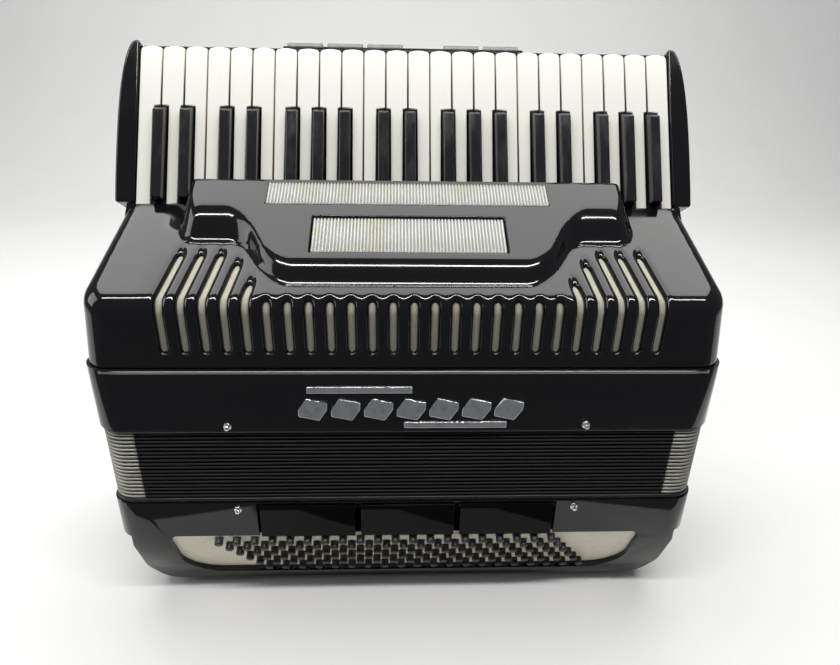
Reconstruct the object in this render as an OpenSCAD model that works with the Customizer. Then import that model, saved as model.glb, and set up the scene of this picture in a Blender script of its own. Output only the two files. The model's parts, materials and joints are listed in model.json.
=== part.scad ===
// Piano accordion, 41 treble keys and 120 bass buttons, standing on its bass feet.
// +X runs along the keyboard to the low notes, -Y is the front that faces an audience,
// +Z runs from the feet up through the bellows to the key tips. The origin is on the
// floor, under the middle of the case.

/* [Case] */
// Length of the treble and bass cases along the keyboard
case_w = 524; // [522:1:528]
// Depth of both cases from front to back
case_d = 200; // [199:1:203]
// Radius of the four upright case corners
corner_r = 22; // [18:1:26]
// Wall thickness of the cases
wall = 8; // [6:1:9]
// Height of the feet
foot_h = 8; // [8:1:10]
// Top edge of the bass case
bass_top = 121; // [121:1:122]
// Height that the closed bellows and its two frames take up
bellows_gap = 72; // [71:1:73]
// Height of the treble case rim
rim_h = 61; // [60:1:61]

/* [Keyboard] */
// Width from one white key to the next
key_pitch = 20.1; // [19.9:0.05:20.15]
// Visible length of a white key
key_len = 145; // [143:1:146]
// Lean of the keyboard back from the vertical, in degrees
key_lean = 29.5; // [29:0.5:30]
// Thickness of a white key
key_t = 12; // [11:0.5:12]
// Height of a black key above the white keys
black_rise = 9; // [7:0.5:9]
// Width of a black key
black_w = 11; // [10:0.5:11]
// Visible length of a black key
black_len = 88; // [84:1:90]

/* [Grille cover] */
// Thickness of the moulded cover
cover_t = 3; // [2.5:0.1:3]
// Distance from one louvre to the next
louvre_pitch = 16.4; // [16.2:0.1:16.8]
// Width of a louvre slot
louvre_w = 5.4; // [5:0.1:7]
// Half the width of the raised hump on the cover
hump_half_w = 188; // [187:0.5:188.5]
// Distance between the ribs of the two screens
screen_pitch = 2.8; // [2.6:0.1:3.2]

/* [Bass side] */
// Distance between button columns
button_pitch = 16; // [15.8:0.1:16.2]
// Distance between button rows
row_pitch = 11.54; // [11.3:0.02:11.6]
// Sideways step from one button row to the next
row_shift = 7.5; // [7:0.1:7.7]
// Radius of a bass button
button_r = 3.8; // [3.4:0.1:3.9]
// Height of a button above its board
button_h = 7; // [6:0.5:7]
// Slope of the button board from the vertical, in degrees
board_slope = 24.8; // [24.5:0.1:25]

/* [Hidden] */
$fn = 48;
WHITE_COUNT = 24;
GROUP_COUNT = 7;
TAB_COUNT = 5;
RANK_COUNT = 3;

front = -case_d / 2;
back = case_d / 2;
treble_bottom = bass_top + bellows_gap;
lip = treble_bottom + rim_h;
frame_t = 4;
fit = 0.3;

// Where the white keys run in under the grille cover, and the keyboard's own directions
key_base = [17, 359];
bank_w = key_pitch * WHITE_COUNT;
key_gap = 0.5;
notch_gap = 1.2;
bed_drop = 20;
bed_t = 12;
rod_l = -22;
rod_n = -6;
rod_r = 1.5;
pivot = key_yz(rod_l, rod_n);
function key_yz(l, n) = [key_base.x + l * sin(key_lean) - n * cos(key_lean),
                         key_base.y + l * cos(key_lean) + n * sin(key_lean)];

// Black keys lean towards or away from the joint between two white keys, in the order
// A, G, F, E, D, C, B from the high end. Two joints in each octave have no black key.
BLACK_OFFSET = [0, 3.5, undef, -2, 2, undef, -3.5];
function black_offset(i) = BLACK_OFFSET[(i - 1) % len(BLACK_OFFSET)];
function has_black(i) = i >= 1 && i < WHITE_COUNT && !is_undef(black_offset(i));
function black_x(i) = -bank_w / 2 + i * key_pitch + black_offset(i);
// The white key numbers that each group of black keys follows
GROUPS = [[1, 2], [4, 5], [7, 8, 9], [11, 12], [14, 15, 16], [18, 19], [21, 22, 23]];

// ---------- shared shapes ----------

// A rectangle with true round corners
module rounded(w, d, r) {
    square([w - 2 * r, d], center = true);
    square([w, d - 2 * r], center = true);
    for (x = [-1, 1], y = [-1, 1])
        translate([x * (w / 2 - r), y * (d / 2 - r)]) circle(r);
}

// An outline drawn as (Y, Z) and carried along X
module along_x(w) {
    rotate([90, 0, 90]) linear_extrude(w, center = true) children();
}

// Children drawn with X across the keys, Y along them and Z out of the key tops
module on_keys() {
    translate([0, key_base.x, key_base.y]) rotate([90 - key_lean, 0, 0]) children();
}

// Children drawn with X across the button board, Y up it and Z out of it
module on_board() {
    translate([0, board_top.x, board_top.y]) rotate([90 + board_slope, 0, 0]) children();
}

module box(low, high) {
    translate(low) cube(high - low);
}

module box_ring(low_z, high_z, w, d, r, t) {
    translate([0, 0, low_z]) linear_extrude(high_z - low_z) difference() {
        rounded(w, d, r);
        rounded(w - 2 * t, d - 2 * t, max(r - t, 1));
    }
}

// ---------- treble case ----------

bed_back = -(bed_drop + bed_t);
function bed_line_at(y) = let (l = (y - key_yz(0, bed_back - fit).x) / sin(key_lean))
    key_yz(l, bed_back - fit).y;

// Rim at the front, full-height ends and back that carry the keyboard
module treble_case() {
    side = [[front, treble_bottom + frame_t], [front, lip],
            [key_base.x - (key_base.y - lip) * tan(key_lean), lip],
            key_yz(-fit, 0), key_yz(-fit, bed_back - fit),
            [back, bed_line_at(back)], [back, treble_bottom + frame_t]];
    color([0.05, 0.05, 0.06]) intersection() {
        translate([0, 0, treble_bottom]) linear_extrude(300) difference() {
            rounded(case_w, case_d, corner_r);
            rounded(case_w - 2 * wall, case_d - 2 * wall, corner_r - wall);
        }
        along_x(case_w + 2) polygon(side);
    }
}

// ---------- grille cover ----------

roof_front = [front + 14, lip + 62];
roof_slope = (key_base.y - roof_front.y) / (key_base.x - roof_front.x);
hump_front = [-70, lip + 80];
hump_back = [16.6, key_base.y + 22.7];
hump_slope = (hump_back.y - hump_front.y) / (hump_back.x - hump_front.x);
wing_foot = [-33, lip + 84.4];
wing_rake = 0.62;
nose_foot = [-85, lip + 66];
nose_half_w = 104;
shoulder_half_w = 129;
seat = 0.3;
cover_w = case_w - 3;

function roof_z(y, i) = roof_front.y + roof_slope * (y - roof_front.x) - i * sqrt(1 + pow(roof_slope, 2));
function hump_z(y, i) = hump_front.y + hump_slope * (y - hump_front.x) - i * sqrt(1 + pow(hump_slope, 2));
// Where a raked hump wall that passes through foot meets the hump's roof
function brow(foot, rake, i) =
    let (z = (hump_z(0, i) + hump_slope * (foot.x + 1.2 * i - rake * foot.y)) / (1 - hump_slope * rake))
    [foot.x + 1.2 * i + rake * (z - foot.y), z];

// Front wall, rounded upper edge and sloping roof, shrunk by i on all outer sides
module roof_outline(i) {
    edge_r = 12 - i;
    polygon(concat(
        [[front + i, lip - (i > 0 ? 5 : -seat)]],
        [for (a = [180:-11.25:113]) [front + i + edge_r + edge_r * cos(a),
                                     roof_z(front + 12, 0) - 13 + edge_r * sin(a)]],
        [[key_base.x + 6, roof_z(key_base.x + 6, i)], [key_base.x + 6, lip - (i > 0 ? 5 : -seat)]]));
}

module hump_outline(foot, rake, i) {
    top = brow(foot, rake, i);
    floor_z = lip + 20;
    polygon([[foot.x + 1.2 * i, floor_z], [foot.x + 1.2 * i, foot.y], top,
             [hump_back.x + 4, hump_z(hump_back.x + 4, i)], [hump_back.x + 4, floor_z]]);
}

// The cover's full outer form, shrunk by i, so that the inner form leaves a shell
module cover_form(i) {
    intersection() {
        along_x(cover_w - 2 * i) roof_outline(i);
        translate([0, 0, lip - 10]) linear_extrude(200)
            rounded(cover_w - 2 * i, case_d - 2 * i, corner_r - i);
    }
    along_x(2 * (hump_half_w - i)) hump_outline(wing_foot, wing_rake, i);
    intersection() {
        along_x(2 * shoulder_half_w) hump_outline(nose_foot, 0.9, i);
        linear_extrude(lip + 200) polygon([
            [-shoulder_half_w + i, key_base.x], [-shoulder_half_w + i, wing_foot.x - 5],
            [-nose_half_w + i, nose_foot.x + 5], [-nose_half_w + i, front],
            [nose_half_w - i, front], [nose_half_w - i, nose_foot.x + 5],
            [shoulder_half_w - i, wing_foot.x - 5], [shoulder_half_w - i, key_base.x]]);
    }
}

// How far back each louvre runs over the roof, counted from the ends of the row
LOUVRE_END = [-38, -38, -38, -47, -68];
louvre_count = 25;
// Distance of the middle of the row of louvres from the middle of the case
louvre_mid = 3.5;
function louvre_back(k) = let (e = min(k, louvre_count - 1 - k))
    e < len(LOUVRE_END) ? LOUVRE_END[e] : front + 9;

module louvre_cuts() {
    for (k = [0:louvre_count - 1])
        translate([louvre_mid + (k - (louvre_count - 1) / 2) * louvre_pitch, 0, 0]) along_x(louvre_w)
            polygon([[front - 10, lip + 9], [front - 10, lip + 120], [louvre_back(k), lip + 120],
                     [louvre_back(k), lip + 52], [front + 9, lip + 50], [front + 9, lip + 9]]);
}

SCREENS = [[245, -11, 17 - 3.5], [162, -60, -25]];

module screen_openings(grow) {
    for (s = SCREENS)
        box([-s[0] / 2 - grow, s[1] - grow, lip + 40],
            [s[0] / 2 + grow, s[2] + grow, lip + 180]);
}

module grille_cover() {
    color([0.04, 0.04, 0.05]) difference() {
        cover_form(0);
        cover_form(cover_t);
        on_keys() box([-case_w, -200, -200], [case_w, 400, 1]);
        box([-case_w, hump_back.x, lip - 20], [case_w, back + 50, lip + 300]);
        louvre_cuts();
        screen_openings(0);
    }
}

// Two ribbed plates that sit in the hump's openings
module grille_screens() {
    plate_t = 1.2;
    sink = 1;
    color([0.85, 0.85, 0.8]) for (s = SCREENS) difference() {
        along_x(s[0] - 0.4) polygon([[s[1] + 0.2, hump_z(s[1] + 0.2, sink)],
            [s[2] - 0.2, hump_z(s[2] - 0.2, sink)],
            [s[2] - 0.2, hump_z(s[2] - 0.2, sink + plate_t)],
            [s[1] + 0.2, hump_z(s[1] + 0.2, sink + plate_t)]]);
        rib_count = floor((s[0] - 8) / screen_pitch);
        for (k = [0:rib_count - 1])
            translate([(k - (rib_count - 1) / 2) * screen_pitch, 0, 0])
                box([-0.45, s[1] + 3, lip + 40], [0.45, s[2] - 3, lip + 180]);
    }
}

// Thin cloth behind the louvres, folded over the inside of the roof edge
module grille_cloth() {
    gap = cover_t + 0.4;
    cloth_t = 0.8;
    span = louvre_pitch * louvre_count + 2 * louvre_mid + 4;
    module fold(i) {
        edge_r = 12 - i;
        polygon(concat([[front + i, lip + 4]],
            [for (a = [180:-11.25:113]) [front + i + edge_r + edge_r * cos(a),
                                         roof_z(front + 12, 0) - 13 + edge_r * sin(a)]],
            [[-36.5, roof_z(-36.5, i)], [-36.5, lip + 4]]));
    }
    color([0.78, 0.75, 0.64]) difference() {
        along_x(span) fold(gap);
        along_x(span + 2) fold(gap + cloth_t);
        along_x(span + 2) polygon([[front + gap + 3, lip], [front + gap + 3, lip + 40],
                                   [-30, lip + 60], [-30, lip]]);
        // Clear of the hump, whose own inside rises here
        box([-hump_half_w, wing_foot.x - 3, lip], [hump_half_w, 0, lip + 200]);
        box([-shoulder_half_w, nose_foot.x + 1, lip], [shoulder_half_w, 0, lip + 200]);
    }
}

// ---------- keyboard ----------

cheek_in = bank_w / 2 + 0.6;
cheek_bulge = 17.5;

// Bowed outer edge of a cheek at distance l along the keys
function cheek_x(l) = cheek_in + cheek_bulge * pow(max(0, 1 - pow(abs(l - 45) / (key_len - 39), 2.6)), 1 / 2.6);

module cheek() {
    low_l = 0;
    high_l = key_len + 1.5 + rail_t;
    steps = 28;
    translate([0, 0, bed_back]) linear_extrude(-bed_back + 2) polygon(concat(
        [[cheek_in, low_l]],
        [for (k = [0:steps]) let (l = low_l + (high_l - low_l) * k / steps)
            [cheek_x(l), l]],
        [[cheek_in, high_l]]));
}

tab_pitch = 37;
tab_w = 33;
// Places of the palm register tabs along the edge of the keyboard
TAB_X = [-95, -95 + tab_pitch, -95 + 2 * tab_pitch, 50, 50 + tab_pitch];
rail_t = 3;
rail_drop = 9;
tab_l = key_len + 1.5 + rail_t + 0.8;
tab_t = 4.5;
// Top, bottom and pocket floor of a tab, and top of its box, below the key tops
tab_top = -8.7;
tab_bottom = -26;
tab_pocket = -30.5;
tab_box_top = -19;
tab_box_l = tab_l + tab_t + 2;

// Bed board, bowed end cheeks, tip rail, register tab box and the rod's end brackets
module key_bed() {
    color([0.06, 0.06, 0.07]) on_keys() difference() {
        union() {
            for (m = [0, 1]) mirror([m, 0, 0]) {
                cheek();
                box([cheek_in, -30, bed_back], [cheek_in + 3.5, 1, -1]);
            }
            box([-cheek_in - 1, 5, bed_back], [cheek_in + 1, key_len + 1.5 + rail_t, -bed_drop]);
            box([-cheek_in - 1, key_len + 1.5, bed_back], [cheek_in + 1, key_len + 1.5 + rail_t, -rail_drop]);
            box([-117, key_len + 0.5 + rail_t, bed_back], [110, tab_box_l, tab_box_top]);
        }
        for (x = TAB_X)
            box([x - tab_w / 2 - 0.4, tab_l - 0.4, tab_pocket], [x + tab_w / 2 + 0.4, tab_l + tab_t + 0.4, 10]);
        for (m = [0, 1]) mirror([m, 0, 0])
            translate([cheek_in - 1, rod_l, rod_n]) rotate([0, 90, 0]) cylinder(h = 8, r = rod_r + 0.05);
    }
}

module key_rod() {
    color([0.7, 0.7, 0.72]) translate([0, pivot.x, pivot.y]) rotate([0, 90, 0])
        cylinder(h = 2 * cheek_in + 6, r = rod_r, center = true);
}

module register_tab(i) {
    color([0.2, 0.2, 0.2]) on_keys()
        box([TAB_X[i - 1] - tab_w / 2, tab_l, tab_bottom], [TAB_X[i - 1] + tab_w / 2, tab_l + tab_t, tab_top]);
}

soundboard_top = lip - 8;
pallet_t = 5;
arm_t = 3;
WHITE_PALLET_Y = -70;
BLACK_PALLET_Y = -26;

// Wire arm at x from the key's tail down to a felt-faced pallet on the soundboard
module key_arm(x, pallet_x, pallet_y, pallet_w) {
    head = key_yz(-24, -key_t + 1);
    foot = [pallet_y, soundboard_top + 0.2 + pallet_t];
    color([0.75, 0.75, 0.72]) translate([x, 0, 0]) along_x(arm_t)
        polygon([head, [head.x - 5, head.y + 1], [foot.x - 3, foot.y + 5], [foot.x - 3, foot.y],
                 [foot.x + 3, foot.y], [foot.x + 3, foot.y + 4]]);
    color([0.75, 0.6, 0.4]) box([pallet_x - pallet_w / 2, pallet_y - 11, soundboard_top + 1.7],
                                [pallet_x + pallet_w / 2, pallet_y + 11, foot.y]);
    color([0.6, 0.2, 0.2]) box([pallet_x - pallet_w / 2, pallet_y - 11, soundboard_top + 0.2],
                               [pallet_x + pallet_w / 2, pallet_y + 11, soundboard_top + 1.7]);
}

module rod_bore(x0, x1) {
    translate([x0, rod_l, rod_n]) rotate([0, 90, 0]) cylinder(h = x1 - x0, r = rod_r + 0.05);
}

// One white key: stick with its cap, arm and pallet
module white_key(i) {
    x0 = -bank_w / 2 + key_pitch * (i - 1) + key_gap / 2;
    x1 = -bank_w / 2 + key_pitch * i - key_gap / 2;
    notch = black_w / 2 + notch_gap;
    tail0 = has_black(i - 1) ? black_x(i - 1) + notch : x0;
    tail1 = has_black(i) ? black_x(i) - notch : x1;
    tip_r = 3;
    color([0.94, 0.94, 0.91]) on_keys() difference() {
        translate([0, 0, -key_t]) linear_extrude(key_t) {
            polygon([[x0, black_len + notch_gap], [x0, key_len - tip_r], [x0 + 1, key_len - 1],
                     [x0 + tip_r, key_len], [x1 - tip_r, key_len], [x1 - 1, key_len - 1],
                     [x1, key_len - tip_r], [x1, black_len + notch_gap]]);
            polygon([[tail0, -28], [tail0, black_len + notch_gap + 1],
                     [tail1, black_len + notch_gap + 1], [tail1, -28]]);
        }
        rod_bore(tail0 - 1, tail1 + 1);
    }
    key_arm((tail0 + tail1) / 2, (x0 + x1) / 2, WHITE_PALLET_Y, 17);
}

// One group of black keys: each a stick with a raised, bevelled cap, arm and pallet
module black_keys(g) {
    half = black_w / 2;
    bevel = 2;
    for (i = GROUPS[g - 1]) {
        x = black_x(i);
        color([0.08, 0.08, 0.09]) on_keys() {
            difference() {
                box([x - half, -28, -key_t], [x + half, 1.8, -0.2]);
                rod_bore(x - half - 1, x + half + 1);
            }
            translate([x, 0, 0]) along_x(black_w)
                polygon([[1.8, -key_t], [1.8, black_rise - 1], [4, black_rise],
                         [black_len - 5, black_rise], [black_len, -1], [black_len, -key_t]]);
        }
        key_arm(x, x, BLACK_PALLET_Y, 17);
    }
}

// ---------- inside the treble case ----------

// A wooden block with a row of open reed cells on its two long faces
module reed_block(x0, x1, y, z0, z1) {
    cells = floor((x1 - x0 - 6) / 16);
    block_t = 26;
    difference() {
        box([x0, y - block_t / 2, z0], [x1, y + block_t / 2, z1]);
        for (k = [0:cells - 1], s = [-1, 1])
            translate([x0 + 5 + k * 16, y + s * block_t / 2, (z0 + z1) / 2])
                box([0, -9, -(z1 - z0) / 2 + 5], [12, 9, (z1 - z0) / 2 - 5]);
    }
}

module treble_reed_blocks() {
    inner_w = case_w - 2 * wall - 1;
    inner_d = case_d - 2 * wall - 1;
    color([0.72, 0.56, 0.36]) {
        translate([0, 0, soundboard_top - 6]) linear_extrude(6)
            rounded(inner_w, inner_d, corner_r - wall);
        for (y = [-66, -26, 20]) for (s = [-1, 1])
            reed_block(s * 118 - 108, s * 118 + 108, y, treble_bottom + 6, soundboard_top - 6);
    }
}

// ---------- bellows ----------

frame_ring = 14;
// Places of the bellows strap studs along the case
STUD_X = [-150, 150];

module snap_stud(x, y, z) {
    translate([x, y, z]) rotate([y < 0 ? 90 : -90, 0, 0]) {
        cylinder(h = 1.2, r = 3.4);
        cylinder(h = 4, r = 1.6);
        translate([0, 0, 3.2]) cylinder(h = 1.6, r = 2.4);
    }
}

// Wooden end frame of the bellows, with the snap studs of the bellows straps
module bellows_frame(z0, stud_z) {
    color([0.08, 0.08, 0.08]) box_ring(z0, z0 + frame_t, case_w - 2, case_d - 2, corner_r - 1, frame_ring);
    color([0.8, 0.8, 0.82]) for (x = STUD_X, y = [front, back]) snap_stud(x, y, stud_z);
}

module treble_bellows_frame() {
    bellows_frame(treble_bottom, treble_bottom + 8);
}

module bass_bellows_frame() {
    bellows_frame(bass_top, bass_top - 7);
}

// Folded bellows, closed, as one hollow tube
module bellows() {
    color([0.1, 0.1, 0.11]) box_ring(bass_top + frame_t, treble_bottom,
                                     case_w - 4, case_d - 4, corner_r - 2, 24);
}

// ---------- bass case ----------

step_z = 83;
lower_half_w = case_w / 2 - 13;
foot_corner_r = 28;
board_top = [-100, 83.5];
slope_len = 70.7;
board_half_w = 213.5;
board_t = 3;
window_half_w = 134;
function board_yz(down, out) = [board_top.x + down * sin(board_slope) - out * cos(board_slope),
                                board_top.y - down * cos(board_slope) - out * sin(board_slope)];

// Side outline of the bass case: upright, then sloping back under the buttons
module bass_outline(i) {
    top_z = bass_top + (i > 0 ? 5 : 0);
    polygon([[front + i, top_z], [front + i, 76], [-76 + i, 20], [-74 + i, foot_h + i],
             [back - i, foot_h + i], [back - i, top_z]]);
}

// Front outline: stepped in below the registers, with large rounded lower corners
module bass_front_outline(i) {
    half = lower_half_w - i;
    square_z = foot_h + foot_corner_r;
    r = foot_corner_r - i;
    translate([-case_w / 2 + i, step_z + i]) square([case_w - 2 * i, bass_top - step_z + 6]);
    translate([-half, square_z]) square([2 * half, step_z + i - square_z + 1]);
    translate([r - half, foot_h + i]) square([2 * (half - r), r + 1]);
    intersection() {
        for (x = [-1, 1]) translate([x * (half - r), square_z]) circle(r);
        translate([-half, foot_h + i]) square([2 * half, r + 1]);
    }
}

module bass_form(i) {
    intersection() {
        along_x(case_w + 2) bass_outline(i);
        linear_extrude(bass_top + 6) rounded(case_w - 2 * i, case_d - 2 * i, corner_r - i);
        rotate([90, 0, 0]) linear_extrude(case_d + 10, center = true) bass_front_outline(i);
    }
}

wheel_y = 20;
wheel_z = 52;
air_x = 203;
air_y = 12;
air_r = 7;
plate_w = 380;
plate_d = 148;
plate_y = 12;

module bass_case() {
    color([0.06, 0.06, 0.07]) difference() {
        bass_form(0);
        bass_form(wall);
        // Register window, button board opening and the open base under the plate
        box([-window_half_w, front - 5, step_z + 1], [window_half_w, front + wall + 2, bass_top - 1.5]);
        on_board() translate([0, 0, -14]) linear_extrude(34) board_outline(fit);
        translate([0, plate_y, 0]) linear_extrude(30) square([plate_w, plate_d], center = true);
        translate([air_x, air_y, 0]) cylinder(h = 60, r = air_r + fit);
        translate([case_w / 2 - 30, wheel_y, wheel_z]) rotate([0, 90, 0]) cylinder(h = 40, r = 3.05);
    }
}

// Flat cover under the bass case
module bass_plate() {
    plate_t = 4;
    color([0.07, 0.07, 0.08]) translate([0, plate_y, foot_h]) linear_extrude(plate_t)
        square([plate_w - 2 * fit, plate_d - 2 * fit], center = true);
}

// The button board's outline, larger by g, with small upper and wide lower corners
module board_outline(g) {
    upper_r = 6 + g;
    lower_r = 34 + g;
    half = board_half_w + g;
    low = -slope_len - g;
    translate([-half, low + lower_r]) square([2 * half, g - upper_r - low - lower_r]);
    translate([upper_r - half, -upper_r]) square([2 * (half - upper_r), upper_r + g]);
    translate([lower_r - half, low]) square([2 * (half - lower_r), lower_r + 1]);
    for (x = [-1, 1]) {
        translate([x * (half - upper_r), g - upper_r]) circle(upper_r);
        translate([x * (half - lower_r), low + lower_r]) circle(lower_r);
    }
}

// Slanted board that the buttons come through, with long rounded ends
module button_board() {
    color([0.76, 0.74, 0.65]) on_board() difference() {
        translate([0, 0, -board_t]) linear_extrude(board_t) board_outline(0);
        for (r = [0:5], c = [0:19])
            translate([button_x(r, c), button_v(r), -10]) cylinder(h = 20, r = button_r + fit, $fn = 24);
    }
}

function button_x(r, c) = (c - 9.5) * button_pitch + (r - 2.5) * row_shift;
function button_v(r) = -(4.5 + r * row_pitch);

// 120 buttons in six rows, each a capped pin that slides through the board
module bass_buttons() {
    color([0.05, 0.05, 0.05]) on_board() for (r = [0:5], c = [0:19])
        translate([button_x(r, c), button_v(r), -8]) cylinder(h = 8 + button_h, r = button_r, $fn = 24);
}

RANK_W = 83.5;
RANK_PITCH = 88.8;
rank_rise = 4;

// A rocking register plate that hinges on a pin along its top edge
module bass_register(i) {
    x = (i - 2) * RANK_PITCH;
    pin_r = 1.2;
    color([0.7, 0.7, 0.72]) translate([x, front - 1, bass_top - 4]) rotate([0, 90, 0])
        cylinder(h = RANK_W + 3, r = pin_r, center = true);
    color([0.05, 0.05, 0.06]) along_x_at(x, RANK_W)
        polygon([[front - 2, bass_top - 2], [front - rank_rise, bass_top - 5],
                 [front - rank_rise, step_z + 3.5], [front - rank_rise + 1.5, step_z + 1.6],
                 [front + 1, step_z + 1.6], [front + 1, bass_top - 2]]);
}

module along_x_at(x, w) {
    translate([x, 0, 0]) along_x(w) children();
}

module bass_reed_blocks() {
    board_z = 66;
    color([0.72, 0.56, 0.36]) {
        box([-232, -48, board_z], [232, 91, board_z + 5]);
        for (y = [-22, 24, 66]) reed_block(-200, 200, y, board_z + 5, bass_top - 3);
    }
}

// Leather hand strap under the plate, lying flat while the instrument stands
module bass_strap() {
    color([0.12, 0.1, 0.09]) translate([0, 5, 0]) rotate([90, 0, 0]) linear_extrude(58, center = true)
        polygon([[-186, foot_h], [-181, foot_h], [-174, 3.2], [174, 3.2], [181, foot_h], [186, foot_h],
                 [178, 1], [-178, 1]]);
}

// Knurled wheel that tightens the hand strap
module strap_wheel() {
    wheel_r = 11;
    wheel_x = lower_half_w + 0.4;
    color([0.75, 0.75, 0.77]) translate([wheel_x, wheel_y, wheel_z]) rotate([0, 90, 0]) {
        difference() {
            cylinder(h = 7, r = wheel_r);
            for (a = [0:15:345]) rotate([0, 0, a]) translate([wheel_r + 0.3, 0, -1]) cylinder(h = 9, r = 0.9, $fn = 16);
        }
        translate([0, 0, -26]) cylinder(h = 26.5, r = 3);
    }
}

// Push button under the player's thumb that lets air in and out of the bellows
module air_button() {
    color([0.8, 0.8, 0.82]) translate([air_x, air_y, 0]) {
        translate([0, 0, foot_h - 4.6]) cylinder(h = 12, r = air_r);
        translate([0, 0, foot_h + 7]) cylinder(h = 20, r = 3);
    }
}

module feet() {
    color([0.15, 0.15, 0.15]) for (x = [-170, 170], y = [-50, 76]) translate([x, y, 0]) {
        cylinder(h = 3, r1 = 8, r2 = 9.5);
        translate([0, 0, 3]) cylinder(h = foot_h - 3, r = 9.5);
    }
}

// ---------- fittings on the treble case ----------

plate_rise = 2;

// Plain bar and lozenge ornament on the front of the treble case
module nameplate() {
    row_z = treble_bottom + 24.5;
    bar_h = 6;
    color([0.82, 0.83, 0.85]) {
        box([-83, front - plate_rise, row_z + 15.5], [2.5, front, row_z + 15.5 + bar_h]);
        box([-4, front - plate_rise, row_z - 12 - bar_h], [82, front, row_z - 12]);
        for (k = [-3:3]) translate([2 + k * 27, front, row_z]) rotate([90, 0, 0])
            linear_extrude(plate_rise) polygon([[-12, 0], [-5, 10.5], [12, 6.5], [12, 0], [5, -10.5], [-12, -6.5]]);
    }
}

lug_t = 3;
lug_reach = 12;
lug_r = 3.5;
LUG_X = 205;
LUG_Z = [treble_bottom + 32, treble_bottom + 140];

// Four lugs on the back for the shoulder straps
module strap_brackets() {
    color([0.8, 0.8, 0.82]) for (x = [-LUG_X, LUG_X], z = LUG_Z) translate([x, back, z]) {
        box([-10, 0, -14], [10, 2, 14]);
        difference() {
            union() {
                box([-lug_t / 2, 0, -7], [lug_t / 2, 2 + lug_reach - 7, 7]);
                translate([-lug_t / 2, 2 + lug_reach - 7, 0]) rotate([0, 90, 0]) cylinder(h = lug_t, r = 7);
            }
            translate([-5, 2 + lug_reach - 7, 0]) rotate([0, 90, 0]) cylinder(h = 10, r = lug_r);
        }
    }
}

// The floor under the middle of the whole instrument, top button row to register tab box
front_most = board_yz(-button_v(0) - button_r, button_h).x;
back_most = key_yz(tab_box_l, bed_back).x;
module centred() {
    translate([0, -(front_most + back_most) / 2, 0]) children();
}

centred() treble_case();
centred() grille_cover();
centred() grille_screens();
centred() grille_cloth();
centred() key_bed();
centred() key_rod();
centred() treble_reed_blocks();
centred() treble_bellows_frame();
centred() nameplate();
centred() strap_brackets();
centred() bellows();
centred() bass_bellows_frame();
centred() bass_case();
centred() bass_plate();
centred() button_board();
centred() bass_buttons();
centred() bass_reed_blocks();
centred() bass_strap();
centred() strap_wheel();
centred() air_button();
centred() feet();
for (i = [1:RANK_COUNT]) centred() bass_register(i);
for (i = [1:TAB_COUNT]) centred() register_tab(i);
for (i = [1:WHITE_COUNT]) centred() white_key(i);
for (i = [1:GROUP_COUNT]) centred() black_keys(i);
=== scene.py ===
import json
import math
import random

import bmesh
import bpy
import numpy as np
from mathutils import Matrix, Vector

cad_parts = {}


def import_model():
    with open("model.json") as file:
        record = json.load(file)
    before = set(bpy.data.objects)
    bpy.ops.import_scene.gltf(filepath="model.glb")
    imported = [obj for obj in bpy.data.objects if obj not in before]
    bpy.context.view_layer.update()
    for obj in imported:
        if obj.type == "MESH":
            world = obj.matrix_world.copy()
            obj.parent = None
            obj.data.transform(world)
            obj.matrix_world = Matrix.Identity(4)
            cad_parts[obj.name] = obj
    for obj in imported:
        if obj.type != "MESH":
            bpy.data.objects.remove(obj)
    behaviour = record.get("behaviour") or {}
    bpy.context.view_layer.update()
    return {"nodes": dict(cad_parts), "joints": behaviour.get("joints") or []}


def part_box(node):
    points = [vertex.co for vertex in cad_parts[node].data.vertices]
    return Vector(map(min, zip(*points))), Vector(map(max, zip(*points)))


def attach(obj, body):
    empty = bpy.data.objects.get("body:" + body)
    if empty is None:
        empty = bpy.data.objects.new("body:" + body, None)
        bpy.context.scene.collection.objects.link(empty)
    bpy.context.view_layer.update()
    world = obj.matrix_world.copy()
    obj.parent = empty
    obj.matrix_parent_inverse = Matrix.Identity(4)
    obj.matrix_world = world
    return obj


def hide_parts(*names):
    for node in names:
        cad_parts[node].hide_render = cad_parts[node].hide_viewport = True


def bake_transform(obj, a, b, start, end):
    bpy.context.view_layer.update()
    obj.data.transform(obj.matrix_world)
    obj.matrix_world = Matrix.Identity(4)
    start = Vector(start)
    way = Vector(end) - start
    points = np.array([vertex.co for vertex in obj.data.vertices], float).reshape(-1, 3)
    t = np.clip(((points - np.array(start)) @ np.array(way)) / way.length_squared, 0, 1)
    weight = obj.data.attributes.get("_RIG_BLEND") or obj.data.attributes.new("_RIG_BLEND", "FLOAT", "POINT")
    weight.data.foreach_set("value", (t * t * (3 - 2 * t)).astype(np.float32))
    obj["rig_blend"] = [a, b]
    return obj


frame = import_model()

# ---- Camera -------------------------------------------------------------------------
# The instrument stands on its bass feet and is seen from above its front, a little left
# of its middle. Places on it are given in millimetres from the middle of the cases, with
# Z up from the floor, and at() turns them into metres.
MM = 0.001
case_low, case_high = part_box("treble_case")
mid_y = (case_low.y + case_high.y) / 2


def at(x, y, z):
    return Vector((x * MM, mid_y + y * MM, z * MM))


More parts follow.
